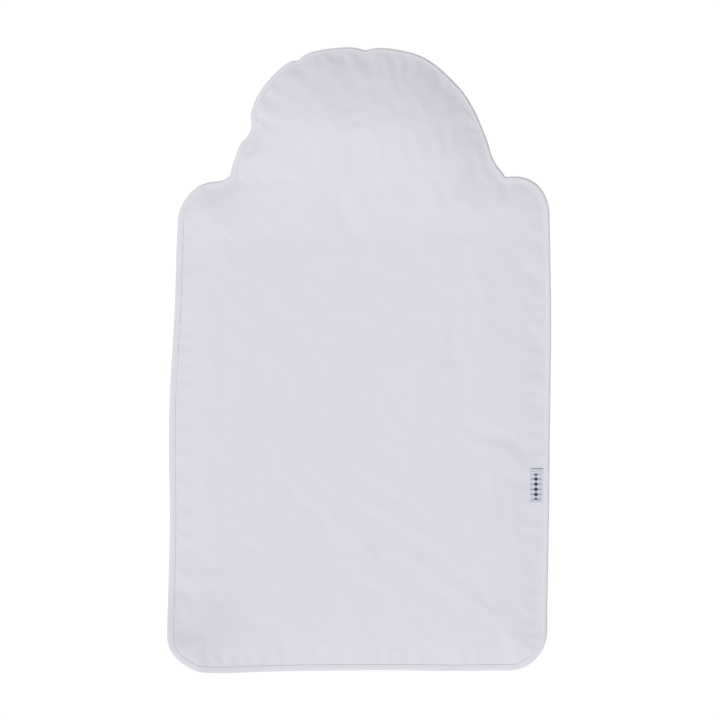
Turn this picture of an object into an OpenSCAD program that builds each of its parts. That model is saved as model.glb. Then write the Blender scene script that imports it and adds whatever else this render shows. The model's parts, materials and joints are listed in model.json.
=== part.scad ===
// Changing pad: a thin padded mat with rounded corners, and a stuffed dome-shaped pillow at its head end.
// Both are bound round the edge with one width of folded tape, and meet at a sewn neck line.
// The foot edge points to -Y, the pillow to +Y, and the pad lies on z = 0. Sizes are in millimetres.

/* [Mat] */
// Width of the mat, edge to edge
mat_w = 495; // [440:5:560]
// Length of the mat, from its foot edge to its shoulders
mat_l = 638; // [560:2:720]
// Thickness of the padded mat at its middle
mat_t = 9; // [7:0.5:14]
// Radius of the mat's four corners
corner_r = 50; // [46:2:80]
// How far in from the binding the mat takes to reach its full thickness
mat_puff_w = 30; // [20:2:34]

/* [Pillow] */
// How far the pillow reaches past the mat's shoulders
pillow_l = 168; // [140:2:200]
// Width of the pillow along the neck line
pillow_w = 348; // [300:4:380]
// Thickness of the stuffed pillow at its middle
pillow_t = 32; // [26:1:36]
// How high the pillow's edge seam lifts off the table at the crown
seam_lift = 8; // [0:1:12]

/* [Edge] */
// Width of the binding tape on each face
binding_w = 8; // [6:0.5:10]
// Thickness of the binding tape
tape_t = 0.6; // [0.4:0.1:0.8]
// Distance from the outer edge to the row of stitches in the binding
stitch_in = 6.4; // [4.5:0.1:7]

/* [Cloth] */
// Thickness of the top and back cloth
cloth_t = 0.8; // [0.5:0.1:1]
// Thickness of the waterproof film under the top cloth
film_t = 0.3; // [0.2:0.1:0.5]
// Thickness of the wadding where the binding squeezes it
squeezed_t = 0.9; // [0.6:0.1:1.5]
// Thickness of a row of sewing thread
thread_t = 0.35; // [0.3:0.05:0.5]

/* [Neck] */
// Where each row of neck stitches begins, measured out from the middle
neck_row_from = 70; // [40:5:90]
// Where each row of neck stitches ends
neck_row_to = 166; // [140:2:166]

/* [Label] */
// How far the folded side label reaches in from the binding
label_w = 19.5; // [12:0.5:24]
// Length of the side label along the edge
label_l = 43.5; // [30:0.5:60]
// Distance from the foot edge to the middle of the label
label_up = 240; // [160:5:400]

/* [Hidden] */

cloth_colour = [0.86, 0.86, 0.90];
film_colour = [0.93, 0.95, 0.97];
wadding_colour = [0.96, 0.96, 0.95];
tape_colour = [0.90, 0.90, 0.93];
thread_colour = [0.80, 0.80, 0.86];
label_colour = [0.88, 0.89, 0.93];

foot_y = -(mat_l + pillow_l) / 2;
shoulder_y = foot_y + mat_l;
crown_y = shoulder_y + pillow_l;
neck_drop = 7;                           // from the top of the shoulders down to the neck line
neck_y = shoulder_y - neck_drop;         // the sewn fold line between the mat and the pillow
neck_gap = 0.3;                          // each side of the neck line stops this short of it
slack = 0.02;                            // between one layer and the next
curved_slack = 0.1;                      // the same between the curved tape and the cloth inside it
layer_inset = tape_t + 0.2;              // the layers stop just inside the folded tape

edge_t = 2 * tape_t + 2 * cloth_t + film_t + squeezed_t;    // the whole bound edge
edge_top_z = edge_t - tape_t;            // top of the top cloth inside the binding
back_step = 1.4;                         // width of the step where the back cloth drops to the table
label_t = 0.8;                           // thickness of the label, folded double
label_row_in = 1.5;                      // from the label's end to its row of stitches

corner_steps = 10;
dome_steps = 5;                          // points for each stretch of the pillow's outline
neck_steps = 12;

mat_puff_shares = [0, 0.12, 0.3, 0.55, 0.8, 1];
pillow_puff_shares = [0.08, 0.2, 0.36, 0.56, 0.78];
pillow_back_shares = [0.08, 0.24, 0.5];
pillow_fullness = 2;                     // above 1, and the higher the squarer the pillow's section
spine_half = 60;                         // the pillow's full height is reached along this spine
spine_y = neck_y + 0.45 * (crown_y - neck_y);

// Right half of the pillow's outline, as shares of its half width and its height above the neck line.
dome_shape = [[1, 0], [0.955, 0.2], [0.89, 0.38], [0.744, 0.686], [0.454, 0.932], [0, 1]];

// ---------------------------------------------------------------- outlines

function arc(centre, r, from) =
    [for (i = [0:corner_steps]) let (a = from + 90 * i / corner_steps) centre + r * [cos(a), sin(a)]];

// The mat's outline, moved in by d. Anticlockwise from the foot edge's right end.
function mat_outline(d) =
    let (x = mat_w / 2 - corner_r, low = foot_y + corner_r, high = shoulder_y - corner_r, r = corner_r - d)
    concat(arc([x, low], r, -90), arc([x, high], r, 0), arc([-x, high], r, 90), arc([-x, low], r, 180));

// The outline of a layer of the mat, which stops at the neck line.
function mat_layer(d) = [for (p = mat_outline(d)) [p.x, min(p.y, neck_y - neck_gap)]];

function spline(a, b, c, d, t) =
    0.5 * (2 * b + (c - a) * t + (2 * a - 5 * b + 4 * c - d) * t * t + (3 * b - a - 3 * c + d) * t * t * t);

// The pillow's bound edge, from the right end of the neck line over the crown to the left end.
function dome_edge() =
    let (
        size = [pillow_w / 2, crown_y - neck_y - neck_gap],
        foot = [0, neck_y + neck_gap],
        right = [for (p = dome_shape) [p.x * size.x, p.y * size.y] + foot],
        last = len(right) - 1,
        left = [for (i = [1:last]) [-right[last - i].x, right[last - i].y]],
        below = 2 * foot.y - right[1].y,        // the spline goes on below the neck line as it came
        all = concat([[right[1].x, below]], right, left, [[-right[1].x, below]]),
        stretches = len(all) - 3
    )
    concat(
        [for (k = [0:stretches - 1], i = [0:dome_steps - 1])
            spline(all[k], all[k + 1], all[k + 2], all[k + 3], i / dome_steps)],
        [all[stretches + 1]]
    );

dome = dome_edge();
dome_count = len(dome);

// The pillow's whole outline: the dome, then back along the neck line.
pillow_outline = concat(
    dome,
    [for (i = [1:neck_steps - 1]) dome[dome_count - 1] * (1 - i / neck_steps) + dome[0] * (i / neck_steps)]
);

function unit(v) = v / norm(v);
function turned(v) = [-v.y, v.x];

// The way into the pillow from each point of its bound edge.
dome_in = [for (i = [0:dome_count - 1])
    turned(unit(dome[min(i + 1, dome_count - 1)] - dome[max(i - 1, 0)]))];

// The pillow's outline moved in by d at the bound edge, and by n at the neck line.
function pillow_layer(d, n) = [for (i = [0:len(pillow_outline) - 1])
    let (p = pillow_outline[i], q = i < dome_count ? p + dome_in[i] * d : p)
    [max(min(q.x, dome[0].x - d), d - dome[0].x), max(q.y, dome[0].y + n)]];

function spine_point(p) = [max(min(p.x, spine_half), -spine_half), spine_y];

// A ring a given share of the way from inside the binding to the pillow's spine.
function pillow_ring(share) = [for (p = pillow_layer(binding_w, 0.7)) p + (spine_point(p) - p) * share];

// How far the pillow's edge seam has lifted off the table at each point of the outline.
function lift(y) = seam_lift * sin(90 * max(0, min(1, (y - neck_y) / (crown_y - neck_y))));
lifts = [for (p = pillow_outline) lift(p.y)];

// ---------------------------------------------------------------- solids from rings

function raised(ring, z) = [for (p = ring) [p.x, p.y, z]];
function raised_by(ring, z, along) = [for (i = [0:len(ring) - 1]) [ring[i].x, ring[i].y, z + along[i]]];

// A closed solid from rings that run out over the top face, and back in under the lower face.
// over is the number of rings on the top face. Both faces are cut into triangles the same way,
// so that one layer's lower face fits on the next layer's top face.
module skin(rings, over) {
    n = len(rings[0]);
    last = len(rings) - 1;
    middle = function(ring) [for (k = [0:2]) let (v = [for (p = ring) p[k]]) (max(v) + min(v)) / 2];
    points = concat([middle(rings[0])], [for (r = rings, p = r) p], [middle(rings[last])]);
    faces = concat(
        [for (i = [0:n - 1]) [0, 1 + (i + 1) % n, 1 + i]],
        [for (k = [0:last - 1], i = [0:n - 1])
            let (a = 1 + k * n + i, a2 = 1 + k * n + (i + 1) % n, b = a + n, b2 = a2 + n)
            each k < over ? [[a, a2, b2], [a, b2, b]] : [[a, a2, b], [a2, b2, b]]],
        [for (i = [0:n - 1]) [1 + (last + 1) * n, 1 + last * n + i, 1 + last * n + (i + 1) % n]]
    );
    polyhedron(points, faces, convexity = 4);
}

// A strip swept along the pillow's bound edge. Its section is a list of [distance in, height].
module edge_sweep(section) {
    n = len(section);
    m = dome_count;
    points = [for (i = [0:m - 1], s = section)
        [each (dome[i] + dome_in[i] * s[0]), s[1] + lifts[i]]];
    faces = concat(
        [[for (j = [0:n - 1]) j]],
        [for (i = [0:m - 2], j = [0:n - 1])
            let (a = i * n + j, a2 = i * n + (j + 1) % n)
            each [[a, a + n, a2], [a2, a + n, a2 + n]]],
        [[for (j = [n - 1:-1:0]) (m - 1) * n + j]]
    );
    polyhedron(points, faces, convexity = 4);
}

module mat_ring(from, to, z, h) {
    translate([0, 0, z]) linear_extrude(h) difference() {
        polygon(mat_outline(from));
        polygon(mat_outline(to));
    }
}

// What the mat's binding leaves out, between the two ends of the neck line.
module neck_opening(extra = 0) {
    half = pillow_w / 2 + neck_gap + extra;
    translate([-half, neck_y - 3 * binding_w, -edge_t]) cube([2 * half, 6 * binding_w, 3 * edge_t]);
}

// ---------------------------------------------------------------- heights

function mat_top_z(share) = edge_top_z + (mat_t - edge_top_z) * (1 - pow(1 - share, 2));

// The pillow's top face swells from its edge to its full thickness along the spine.
function pillow_top_z(share, edge) =
    let (most = max(pillow_puff_shares))
    edge + (pillow_t - edge) * (1 - pow(1 - share / most, pillow_fullness));

// The rings of the mat's top face, lowered by a given depth. They run from the middle out.
function mat_top_rings(depth) = concat(
    [for (i = [len(mat_puff_shares) - 1:-1:0]) let (s = mat_puff_shares[i])
        raised(mat_layer(binding_w + mat_puff_w * s), mat_top_z(s) - depth)],
    [raised(mat_layer(layer_inset), edge_top_z - depth)]
);

function pillow_top_rings(depth) = concat(
    [for (k = [len(pillow_puff_shares) - 1:-1:0]) let (s = pillow_puff_shares[k], ring = pillow_ring(s))
        [for (i = [0:len(ring) - 1]) [each ring[i], pillow_top_z(s, edge_top_z + lifts[i]) - depth]]],
    [raised_by(pillow_layer(binding_w, 0.7), edge_top_z - depth, lifts)],
    [raised_by(pillow_layer(layer_inset, 0), edge_top_z - depth, lifts)]
);

// The rings of the pillow's back face, raised by a given height. They run from the middle out.
function pillow_back_rings(height) = concat(
    [for (k = [len(pillow_back_shares) - 1:-1:0]) let (s = pillow_back_shares[k], ring = pillow_ring(s))
        [for (i = [0:len(ring) - 1]) [each ring[i], height + lifts[i] * pow(max(0, 1 - 2 * s), 2)]]],
    [raised_by(pillow_layer(binding_w, 0.7), tape_t + height, lifts)],
    [raised_by(pillow_layer(layer_inset, 0), tape_t + height, lifts)]
);

function backwards(list) = [for (i = [len(list) - 1:-1:0]) list[i]];

// ---------------------------------------------------------------- the mat

module mat_top_cover() {
    upper = mat_top_rings(0);
    color(cloth_colour) skin(concat(upper, backwards(mat_top_rings(cloth_t - slack))), len(upper));
}

module mat_liner() {
    upper = mat_top_rings(cloth_t);
    color(film_colour) skin(concat(upper, backwards(mat_top_rings(cloth_t + film_t - slack))), len(upper));
}

// The wadding fills the mat between the film and the back cloth, and is squeezed thin in the binding.
module mat_wadding() {
    upper = mat_top_rings(cloth_t + film_t);
    squeezed_z = tape_t + cloth_t + slack;
    step_in = binding_w + back_step;
    lower = [
        raised(mat_layer(layer_inset), squeezed_z),
        raised(mat_layer(step_in), squeezed_z),
        raised(mat_layer(step_in + 0.2), cloth_t + slack)
    ];
    color(wadding_colour) skin(concat(upper, lower), len(upper));
}

// The back cloth lies on the table, and steps up at its edge to make room for the tape under it.
module mat_back_cover() {
    color(cloth_colour) {
        linear_extrude(cloth_t) polygon(mat_layer(binding_w + back_step - 1));
        translate([0, 0, tape_t]) linear_extrude(cloth_t) difference() {
            polygon(mat_layer(layer_inset));
            polygon(mat_layer(binding_w + back_step));
        }
    }
}

module mat_binding() {
    color(tape_colour) difference() {
        union() {
            mat_ring(0, tape_t, 0, edge_t);
            mat_ring(0, binding_w, 0, tape_t);
            mat_ring(0, binding_w, edge_t - tape_t, tape_t);
        }
        neck_opening();
        mat_ring(stitch_in - thread_t, stitch_in + thread_t, -1, 1 + thread_t + slack);
    }
}

module mat_thread_row(z) {
    color(thread_colour) difference() {
        mat_ring(stitch_in - thread_t * 0.8, stitch_in + thread_t * 0.8, z, thread_t - slack);
        neck_opening(2);
    }
}

module mat_binding_top_thread() { mat_thread_row(edge_t + slack); }
module mat_binding_back_thread() { mat_thread_row(slack); }

// Two rows of stitches close the neck at its sides, and the middle is left open.
module neck_seam_thread() {
    row_l = neck_row_to - neck_row_from;
    color(thread_colour) for (side = [-1, 1])
        translate([side * (neck_row_from + row_l / 2) - row_l / 2, neck_y - neck_gap - 2 * thread_t, 0])
            translate([0, 0, edge_top_z + slack]) cube([row_l, 2 * thread_t, thread_t]);
}

// The mat's top face under the label, from the binding inwards, as [x, height].
label_path = concat(
    [for (s = mat_puff_shares) if (s * mat_puff_w < label_w)
        [mat_w / 2 - binding_w - s * mat_puff_w, mat_top_z(s)]],
    [[mat_w / 2 - binding_w - label_w, mat_top_z(label_w / mat_puff_w)]]
);

// A strip that follows the mat's top face, between two heights above it, over a length of the edge.
module label_strip(low, high, from, length) {
    section = concat([for (p = label_path) p + [0, low]], [for (p = backwards(label_path)) p + [0, high]]);
    translate([-slack, foot_y + label_up + from + length, 0]) rotate([90, 0, 0])
        linear_extrude(length) polygon(section);
}

// The label is folded double. It lies on the top cloth with its outer edge against the binding.
module side_label() {
    color(label_colour) label_strip(slack, label_t, -label_l / 2, label_l);
}

// A row of stitches across each end of the label.
module side_label_thread() {
    color(thread_colour) for (from = [label_row_in - label_l / 2, label_l / 2 - label_row_in - 2 * thread_t])
        label_strip(label_t + slack, label_t + thread_t, from, 2 * thread_t);
}

// ---------------------------------------------------------------- the pillow

module pillow_top_cover() {
    upper = pillow_top_rings(0);
    color(cloth_colour) skin(concat(upper, backwards(pillow_top_rings(cloth_t - slack))), len(upper));
}

module pillow_liner() {
    upper = pillow_top_rings(cloth_t);
    color(film_colour)
        skin(concat(upper, backwards(pillow_top_rings(cloth_t + film_t - slack))), len(upper));
}

module pillow_filling() {
    upper = pillow_top_rings(cloth_t + film_t);
    color(wadding_colour) skin(concat(upper, backwards(pillow_back_rings(cloth_t + slack))), len(upper));
}

module pillow_back_cover() {
    upper = pillow_back_rings(cloth_t);
    color(cloth_colour) skin(concat(upper, backwards(pillow_back_rings(0))), len(upper));
}

module pillow_binding() {
    groove = thread_t + slack;
    color(tape_colour) edge_sweep([
        [0, 0], [stitch_in - thread_t, 0], [stitch_in - thread_t, groove],
        [stitch_in + thread_t, groove], [stitch_in + thread_t, 0], [binding_w, 0],
        [binding_w, tape_t - curved_slack], [tape_t, tape_t - curved_slack],
        [tape_t, edge_t - tape_t + curved_slack], [binding_w, edge_t - tape_t + curved_slack],
        [binding_w, edge_t], [0, edge_t]
    ]);
}

module pillow_thread_row(z) {
    half = thread_t * 0.8;
    color(thread_colour) edge_sweep([
        [stitch_in - half, z], [stitch_in + half, z],
        [stitch_in + half, z + thread_t - slack], [stitch_in - half, z + thread_t - slack]
    ]);
}

module pillow_binding_top_thread() { pillow_thread_row(edge_t + slack); }
module pillow_binding_back_thread() { pillow_thread_row(slack); }

// ---------------------------------------------------------------- assembly

mat_top_cover();
mat_liner();
mat_wadding();
mat_back_cover();
mat_binding();
mat_binding_top_thread();
mat_binding_back_thread();
neck_seam_thread();
side_label();
side_label_thread();
pillow_top_cover();
pillow_liner();
pillow_filling();
pillow_back_cover();
pillow_binding();
pillow_binding_top_thread();
pillow_binding_back_thread();
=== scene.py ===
"""A changing pad: a thin padded mat with a stuffed pillow at its head end, bound in folded tape.

Each cloth is first laid out flat, as it is cut. It is then filled, moved to where it lies on the table, and
wrinkled by a cloth simulation. Lengths are in metres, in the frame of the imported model.
"""
import json
import math

import bpy
import numpy as np
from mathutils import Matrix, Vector, geometry
from mathutils.bvhtree import BVHTree


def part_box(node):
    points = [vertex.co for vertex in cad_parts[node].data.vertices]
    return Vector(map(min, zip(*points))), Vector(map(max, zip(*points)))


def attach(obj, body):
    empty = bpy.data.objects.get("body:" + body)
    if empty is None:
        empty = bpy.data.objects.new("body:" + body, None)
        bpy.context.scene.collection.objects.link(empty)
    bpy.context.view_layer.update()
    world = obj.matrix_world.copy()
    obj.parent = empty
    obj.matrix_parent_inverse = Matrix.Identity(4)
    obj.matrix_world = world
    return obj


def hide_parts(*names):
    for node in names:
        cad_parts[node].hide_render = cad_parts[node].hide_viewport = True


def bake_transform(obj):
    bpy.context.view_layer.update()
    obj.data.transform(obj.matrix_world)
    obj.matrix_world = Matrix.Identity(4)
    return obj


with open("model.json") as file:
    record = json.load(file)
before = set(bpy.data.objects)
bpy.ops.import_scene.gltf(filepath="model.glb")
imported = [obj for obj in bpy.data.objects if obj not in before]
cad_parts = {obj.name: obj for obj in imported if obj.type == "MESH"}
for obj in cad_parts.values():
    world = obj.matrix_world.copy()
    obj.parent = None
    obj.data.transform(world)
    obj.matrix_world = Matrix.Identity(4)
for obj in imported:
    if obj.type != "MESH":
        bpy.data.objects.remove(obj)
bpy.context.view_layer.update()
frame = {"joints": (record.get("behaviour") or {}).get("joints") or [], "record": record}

MM = 0.001

# ---------------------------------------------------------------- sizes from the frame

mat_low, mat_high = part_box("mat_binding")
pillow_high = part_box("pillow_binding")[1]
label_low, label_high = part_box("side_label")
MAT_HALF = mat_high.x
PILLOW_HALF = pillow_high.x
FOOT_Y = mat_low.y
SHOULDER_Y = mat_high.y
CROWN_Y = pillow_high.y
NECK_Y = frame["joints"][0]["pos_m"][1]
EDGE_T = mat_high.z                 # thickness of the bound edge
MAT_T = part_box("mat_top_cover")[1].z
PILLOW_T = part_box("pillow_top_cover")[1].z

# ---------------------------------------------------------------- sizes of the sewing

CORNER_R = 50 * MM
NECK_CORNER = 20 * MM               # the rounding where the pillow meets the shoulders
TAPE_W = 8.4 * MM                   # from its outer edge to its inner edge
CLOTH_T = 0.8 * MM
FILM_T = 0.3 * MM
GAP = 0.15 * MM                     # between one layer and the next
STITCH_IN = 6.3 * MM                # from the outer edge to the row of stitches
STITCH_H = 0.84                     # height of that row, as a share of half the edge's thickness
SLIMMER = 0.22                      # how much thinner the pillow's tape is at its inner edge
BARE_ENDS = 3                       # points at each end of a tape that have no stitches
TUCK = 3 * MM                       # from the tape's outer edge to the cloths' edge inside it
TUCK_H = 1.2 * MM                   # half the thickness of all that the tape holds
MAT_TILT = math.radians(6)          # how far the tape has turned up at its inner edge
PILLOW_TILT = math.radians(36)
CROWN_LIFT = 0.8 * MM               # how far the tape's outer edge lifts off the table

EDGE_STEP = 3.5 * MM                # between the outline's points
CLOTH_STEP = 4.7 * MM               # side of the triangles that the cloth is made of

LABEL_T = 0.75 * MM
LABEL_SHARE = 0.9                   # its width as a share of its space
LABEL_UP = 0.9 * MM                 # from the cloth to the top of the label
LABEL_ARCH = 0.35 * MM
LABEL_LIFT = 1.5 * MM               # how far its end toward the pillow stands up

# ---------------------------------------------------------------- how full it is

SPARE_T = 0.6 * MM                  # how far the mat stays below its CAD top, for its wrinkles
RAMP_START = -78 * MM               # from the neck to where the filling starts to rise
RAMP_REACH = 165 * MM               # how far it is from there to its full height
ROLL = 100                          # from the tape to where the mat is at its full height, in mm
PILLOW_ROLL = 36                    # how much further that is on the pillow, in mm
SEAM_DENT = 1.2 * MM                # how deep the neck's stitches pull in
SEAM_HALF_W = 3.5 * MM
SEAM_FROM = 48 * MM                 # from the middle to where the neck's stitches start to pull
DENT_DEPTH = 0.7                    # puckers at the tape, in mm
PILLOW_DENT_DEPTH = 2               # how much deeper they are on the pillow, in mm
DENT_SPACING = (11, 38)             # least and most from one to the next, in mm
DENT_HALF_W = (2.6, 6.0)
DENT_REACH = (10, 32)               # how far in they run
FOOT_HOLLOW = 2 * MM                # how far the middle of the foot edge lies in from its corners
NECK_BOW = 4 * MM                   # how far the middle of the neck lies toward the crown

# ---------------------------------------------------------------- how the cloth behaves

HELD = 0.12                         # how firmly the top cloth is held by the filling under it
HELD_BELOW = 0.9                    # and the bottom cloth by the table
SLACK = 0.03                        # how slack the top cloth is, as a share of the slackest
PILLOW_SLACK = 0.12                 # how much slacker it is on the pillow
EDGE_SLACK = 0.35                   # and beside the tape
SLACKEST = 0.014                    # how much longer than it lies the slackest cloth is
PUFF = 0.05                         # pressure from inside
MOST = 6 * MM                       # how far the simulation may move a point
ABOVE_TABLE = 0.05 * MM
THINNEST = 2 * MM                   # the pad's thickness where it is least
CLOTH = {
    "quality": 5,
    "mass": 0.1,
    "tension_stiffness": 12,
    "compression_stiffness": 12,
    "shear_stiffness": 6,
    "bending_stiffness": 1.5,
    "tension_damping": 5,
    "compression_damping": 5,
    "shear_damping": 5,
    "bending_damping": 0.8,
    "pin_stiffness": 1.0,
}

# ---------------------------------------------------------------- how it is cut, and how it lies

# Right half of the pillow's outline, as shares of its half width and of its height above the neck line.
DOME_SHAPE = [(1, 0), (0.955, 0.2), (0.89, 0.38), (0.744, 0.686), (0.454, 0.932), (0, 1)]

# How the pad lies: at each place along it, how far its left and right edges lie from the cut, in mm.
# Each row is (y, left x, left y, right x, right y).
LAY = [
    (-403, -0.5, -1.0, -8, 2.5),
    (-310, 0.5, 0, -6.5, 1.5),
    (-206, 2.5, 0, -4.5, 1),
    (-103, 1, 0, -3.5, 1),
    (-40, 2, 0, -2.5, 1.5),
    (60, 8.5, -1, -1.5, 1.5),
    (155, 11, -4, -3, 2),
    (206, 13, -6, -4.5, 1),
    (262, 5, -2, 2, 1),
    (330, 3, 0, 2, -1),
    (403, 0, 0.6, 0, -1),
]

# Places that lie further over than that: (x, y), how far in x and y, and the radius of the place, in mm.
SHIFTS = [
    ((-232, 222), (1.6, -3.4), 36),
    ((-166, 227), (-10, 0), 13),
    ((169, 238), (11.5, -2), 14),
    ((160, 308), (1.6, 0), 22),
    ((-164, 246), (-3, 0), 12),
    ((232, 226), (-0.4, 1.2), 30),
    ((142, 332), (-0.5, -0.8), 40),
    ((120, 385), (-2, -1.5), 36),
    ((-228, -398), (3.2, 3.6), 30),
    ((210, -400), (0, 0.55), 35),
    ((-196, -402), (0.6, 1), 22),
    ((-200, 231), (0, -1.4), 16),
    ((-76, 396), (0, -0.6), 24),
    ((64, 398), (0, -0.4), 36),
    ((115, -402), (0, -1), 45),
]

# Where the pad curls up off the table: (x, y), how high, and the radius of the place, in mm.
CURLS = [
    ((-248, -404), 19.0, 82),
    ((248, -404), 3.6, 50),
]

# Where the edge is pinched: (x, y), the way in, and then depth, half width and reach, in mm.
PINCHES = [
    ((-147, 297), (1, -0.1), 9, 17, 30),
    ((-152, 287), (1, 0.35), 3.5, 4, 22),
    ((-82, 389), (0.55, -1), 4.4, 7, 20),
    ((6, 403), (0, -1), 4.6, 12, 24),
    ((-172, 239), (1, -0.4), 2.5, 4, 14),
]

# Soft folds in the top cloth: from, to, height (a dent is negative) and half width, in mm.
FOLDS = [
    ((-64, -205), (48, -325), -0.8, 20),
    ((-30, -226), (80, -340), 0.5, 18),
    ((60, -262), (170, -318), 0.4, 16),
    ((138, -84), (238, -124), -0.9, 10),
    ((140, -104), (236, -142), 0.5, 10),
    ((165, -146), (226, -160), -0.7, 8),
    ((-150, 46), (-60, 54), -0.2, 8),
    ((-50, 56), (70, 46), -0.2, 7),
    ((-30, 84), (52, 72), 0.2, 12),
    ((-58, 234), (-108, 190), -1.1, 13),
    ((-42, 218), (-6, 172), -1.4, 12),
    ((-22, 214), (14, 176), 0.8, 13),
    ((50, 234), (86, 194), -1.4, 12),
    ((84, 212), (112, 188), 0.9, 12),
    ((120, 224), (160, 206), -0.7, 9),
    ((160, -382), (196, -336), -1.5, 13),
    ((130, -388), (180, -350), 0.5, 13),
    ((-238, -248), (-176, -266), -0.8, 11),
    ((-240, -287), (-190, -304), -0.7, 10),
    ((-238, 146), (-164, 180), 0.7, 16),
    ((-238, 122), (-150, 176), -0.9, 13),
    ((-238, 78), (-180, 94), -0.6, 11),
    ((-226, 28), (-190, 58), -0.5, 12),
    ((-240, -20), (-196, -28), -0.5, 10),
    ((-238, -130), (-200, -142), -0.4, 10),
    ((222, 196), (200, 214), -0.9, 10),
    ((-200, -372), (-236, -322), -1.3, 20),
    ((112, 18), (132, -6), -0.6, 11),
    ((90, 96), (168, 104), 0.3, 14),
]


# ---------------------------------------------------------------- small tools

def smoothstep(t):
    t = np.clip(t, 0, 1)
    return t * t * (3 - 2 * t)


def bulge(t, power):
    """Rises steeply from 0 and levels out at 1, as stuffed cloth does from a seam."""
    return 1 - (1 - np.clip(t, 0, 1)) ** power


def unit(v):
    return v / np.maximum(np.linalg.norm(v, axis=-1, keepdims=True), 1e-12)


def turned(v):
    """Directions in plan, a quarter turn anticlockwise."""
    return np.stack([-v[:, 1], v[:, 0]], axis=1)


def arc(centre, r, start, steps=16):
    """A quarter circle that starts at that angle in degrees."""
    a = np.radians(start + 90 * np.linspace(0, 1, steps + 1))
    return np.array(centre) + r * np.stack([np.cos(a), np.sin(a)], axis=1)


def spline(points, steps=24):
    """A Catmull-Rom curve through the points, without the first and the last."""
    p = np.array(points, float)
    t = np.linspace(0, 1, steps, endpoint=False)[:, None]
    parts = []
    for a, b, c, d in zip(p[:-3], p[1:-2], p[2:-1], p[3:]):
        parts.append(0.5 * (2 * b + (c - a) * t + (2 * a - 5 * b + 4 * c - d) * t ** 2
                            + (3 * b - a - 3 * c + d) * t ** 3))
    return np.vstack(parts + [p[-2:-1]])


def distances_along(points):
    return np.concatenate([[0], np.cumsum(np.linalg.norm(np.diff(points, axis=0), axis=1))])


def resampled(points, step):
    """The closed line through the points, with its points evenly spaced."""
    points = np.vstack([points, points[:1]])
    along = distances_along(points)
    at = np.linspace(0, along[-1], round(along[-1] / step) + 1)
    return np.stack([np.interp(at, along, column) for column in points.T], axis=1)[:-1]


def waves(p, length, seed, count=9):
    """Smooth unevenness with about that wavelength, from -1 to 1, the same on each run."""
    rng = np.random.default_rng(seed)
    total = np.zeros(len(p))
    for _ in range(count):
        angle, phase = rng.uniform(0, 2 * math.pi, 2)
        k = 2 * math.pi / (length * rng.uniform(0.7, 1.6))
        total += np.sin(k * (p[:, 0] * math.cos(angle) + p[:, 1] * math.sin(angle)) + phase)
    return total / math.sqrt(count) / 1.6


# ---------------------------------------------------------------- the outline, as it is cut

def half_outline():
    """The bound edge's right half, from the middle of the foot edge to the crown."""
    r = CORNER_R
    x, low, high = MAT_HALF - r, FOOT_Y + r, SHOULDER_Y - r
    size = np.array([PILLOW_HALF, CROWN_Y - NECK_Y])
    dome = np.array(DOME_SHAPE) * size + [0, NECK_Y]
    before, after = dome[0] - [0, 0.2 * size[1]], dome[-2] * [-1, 1]
    dome = spline(np.vstack([before, dome, after]))
    dome = dome[dome[:, 1] > SHOULDER_Y + NECK_CORNER]
    corner = np.array([dome[0, 0] + 0.5 * MM, SHOULDER_Y])
    start = corner + [NECK_CORNER, 0]
    t = np.linspace(0, 1, 8, endpoint=False)[:, None]
    notch = (1 - t) ** 2 * start + 2 * t * (1 - t) * corner + t ** 2 * dome[0]
    return np.vstack([[[0, FOOT_Y]], arc((x, low), r, -90), arc((x, high), r, 0), notch, dome])


def whole_outline():
    right = half_outline()
    left = right[-2:0:-1] * [-1, 1]
    return resampled(np.vstack([right, left]), EDGE_STEP)


def edge_normals(points):
    """The way in from each point of a closed outline."""
    along = np.roll(points, -1, axis=0) - np.roll(points, 1, axis=0)
    for _ in range(2):
        along = along + 0.5 * (np.roll(along, 1, axis=0) + np.roll(along, -1, axis=0))
    return turned(unit(along))


def nearest(points, line):
    """For each point: how far the closed line is, and which stretch of it is nearest and how far along."""
    a, b = line, np.roll(line, -1, axis=0)
    d = b - a
    found = []
    for start in range(0, len(points), 2000):
        p = points[start:start + 2000, None]
        t = np.clip(((p - a) * d).sum(2) / (d * d).sum(1), 0, 1)
        far = np.linalg.norm(p - a - t[..., None] * d, axis=2)
        k = far.argmin(1)
        rows = np.arange(len(k))
        found.append(np.stack([far[rows, k], k, t[rows, k]]))
    far, k, t = np.hstack(found)
    return far, k.astype(int), t


def inside(points, line):
    """Which of the points are inside a closed line."""
    a, b = line, np.roll(line, -1, axis=0)
    found = np.zeros(len(points), bool)
    for start in range(0, len(points), 2000):
        x, y = points[start:start + 2000, 0:1], points[start:start + 2000, 1:2]
        spans = (a[:, 1] > y) != (b[:, 1] > y)
        rise = np.where(b[:, 1] == a[:, 1], 1e-12, b[:, 1] - a[:, 1])
        crosses = spans & (x < a[:, 0] + (y - a[:, 1]) * (b[:, 0] - a[:, 0]) / rise)
        found[start:start + 2000] = crosses.sum(1) % 2 == 1
    return found


def past_neck(y, reach=45 * MM):
    """0 on the mat, rising to 1 on the pillow."""
    return smoothstep((y - SHOULDER_Y) / reach)


def tape_tilt(y):
    """How far the tape has turned up at its inner edge."""
    return MAT_TILT + (PILLOW_TILT - MAT_TILT) * past_neck(y)


def bend(e, tilt):
    """The tape curls up evenly from its outer edge: how far in and up e along it is, and its angle there."""
    angle = tilt * e / TAPE_W
    return e * np.sinc(angle / math.pi), e * np.sin(angle / 2) * np.sinc(angle / 2 / math.pi), angle


def curled_up(p):
    """How far the pad lies off the table at its corners."""
    lift = np.zeros(len(p))
    for place, height, radius in CURLS:
        far = np.linalg.norm(p - np.array(place) * MM, axis=1)
        lift += height * MM * np.exp(-(far / (radius * MM)) ** 2)
    return lift


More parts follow.
